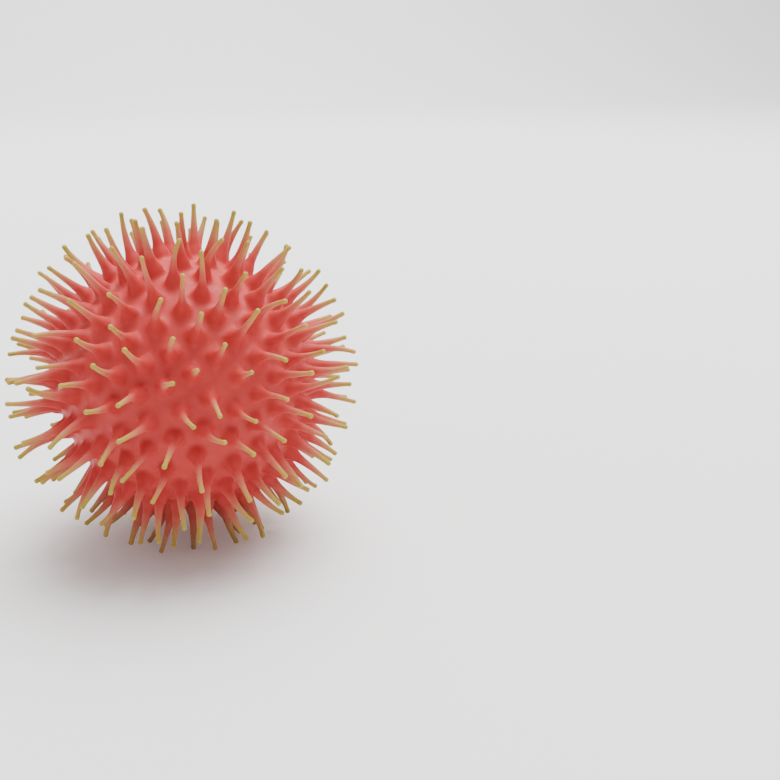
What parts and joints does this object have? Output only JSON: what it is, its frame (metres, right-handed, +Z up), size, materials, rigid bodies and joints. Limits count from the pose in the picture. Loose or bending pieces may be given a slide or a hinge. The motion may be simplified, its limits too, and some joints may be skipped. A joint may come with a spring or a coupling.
{
  "type": "rambutan",
  "caption": "Fresh whole rambutan fruit: a round red rind covered in soft tapering spines with small yellow-green tips, standing on its lowest spines.",
  "frame": {"origin": "on the surface the fruit rests on, at the middle of the flattened lowest spine, under the middle of the fruit", "axes": "+Z up, -Y towards the viewer, +X to the viewer's right, the stem scar on the +Y side"},
  "size_m": [0.0562, 0.0565, 0.055],
  "materials": {
    "rind": "satin"
  },
  "bodies": {
    "root": {"rambutan": "rind"}
  },
  "joints": []
}
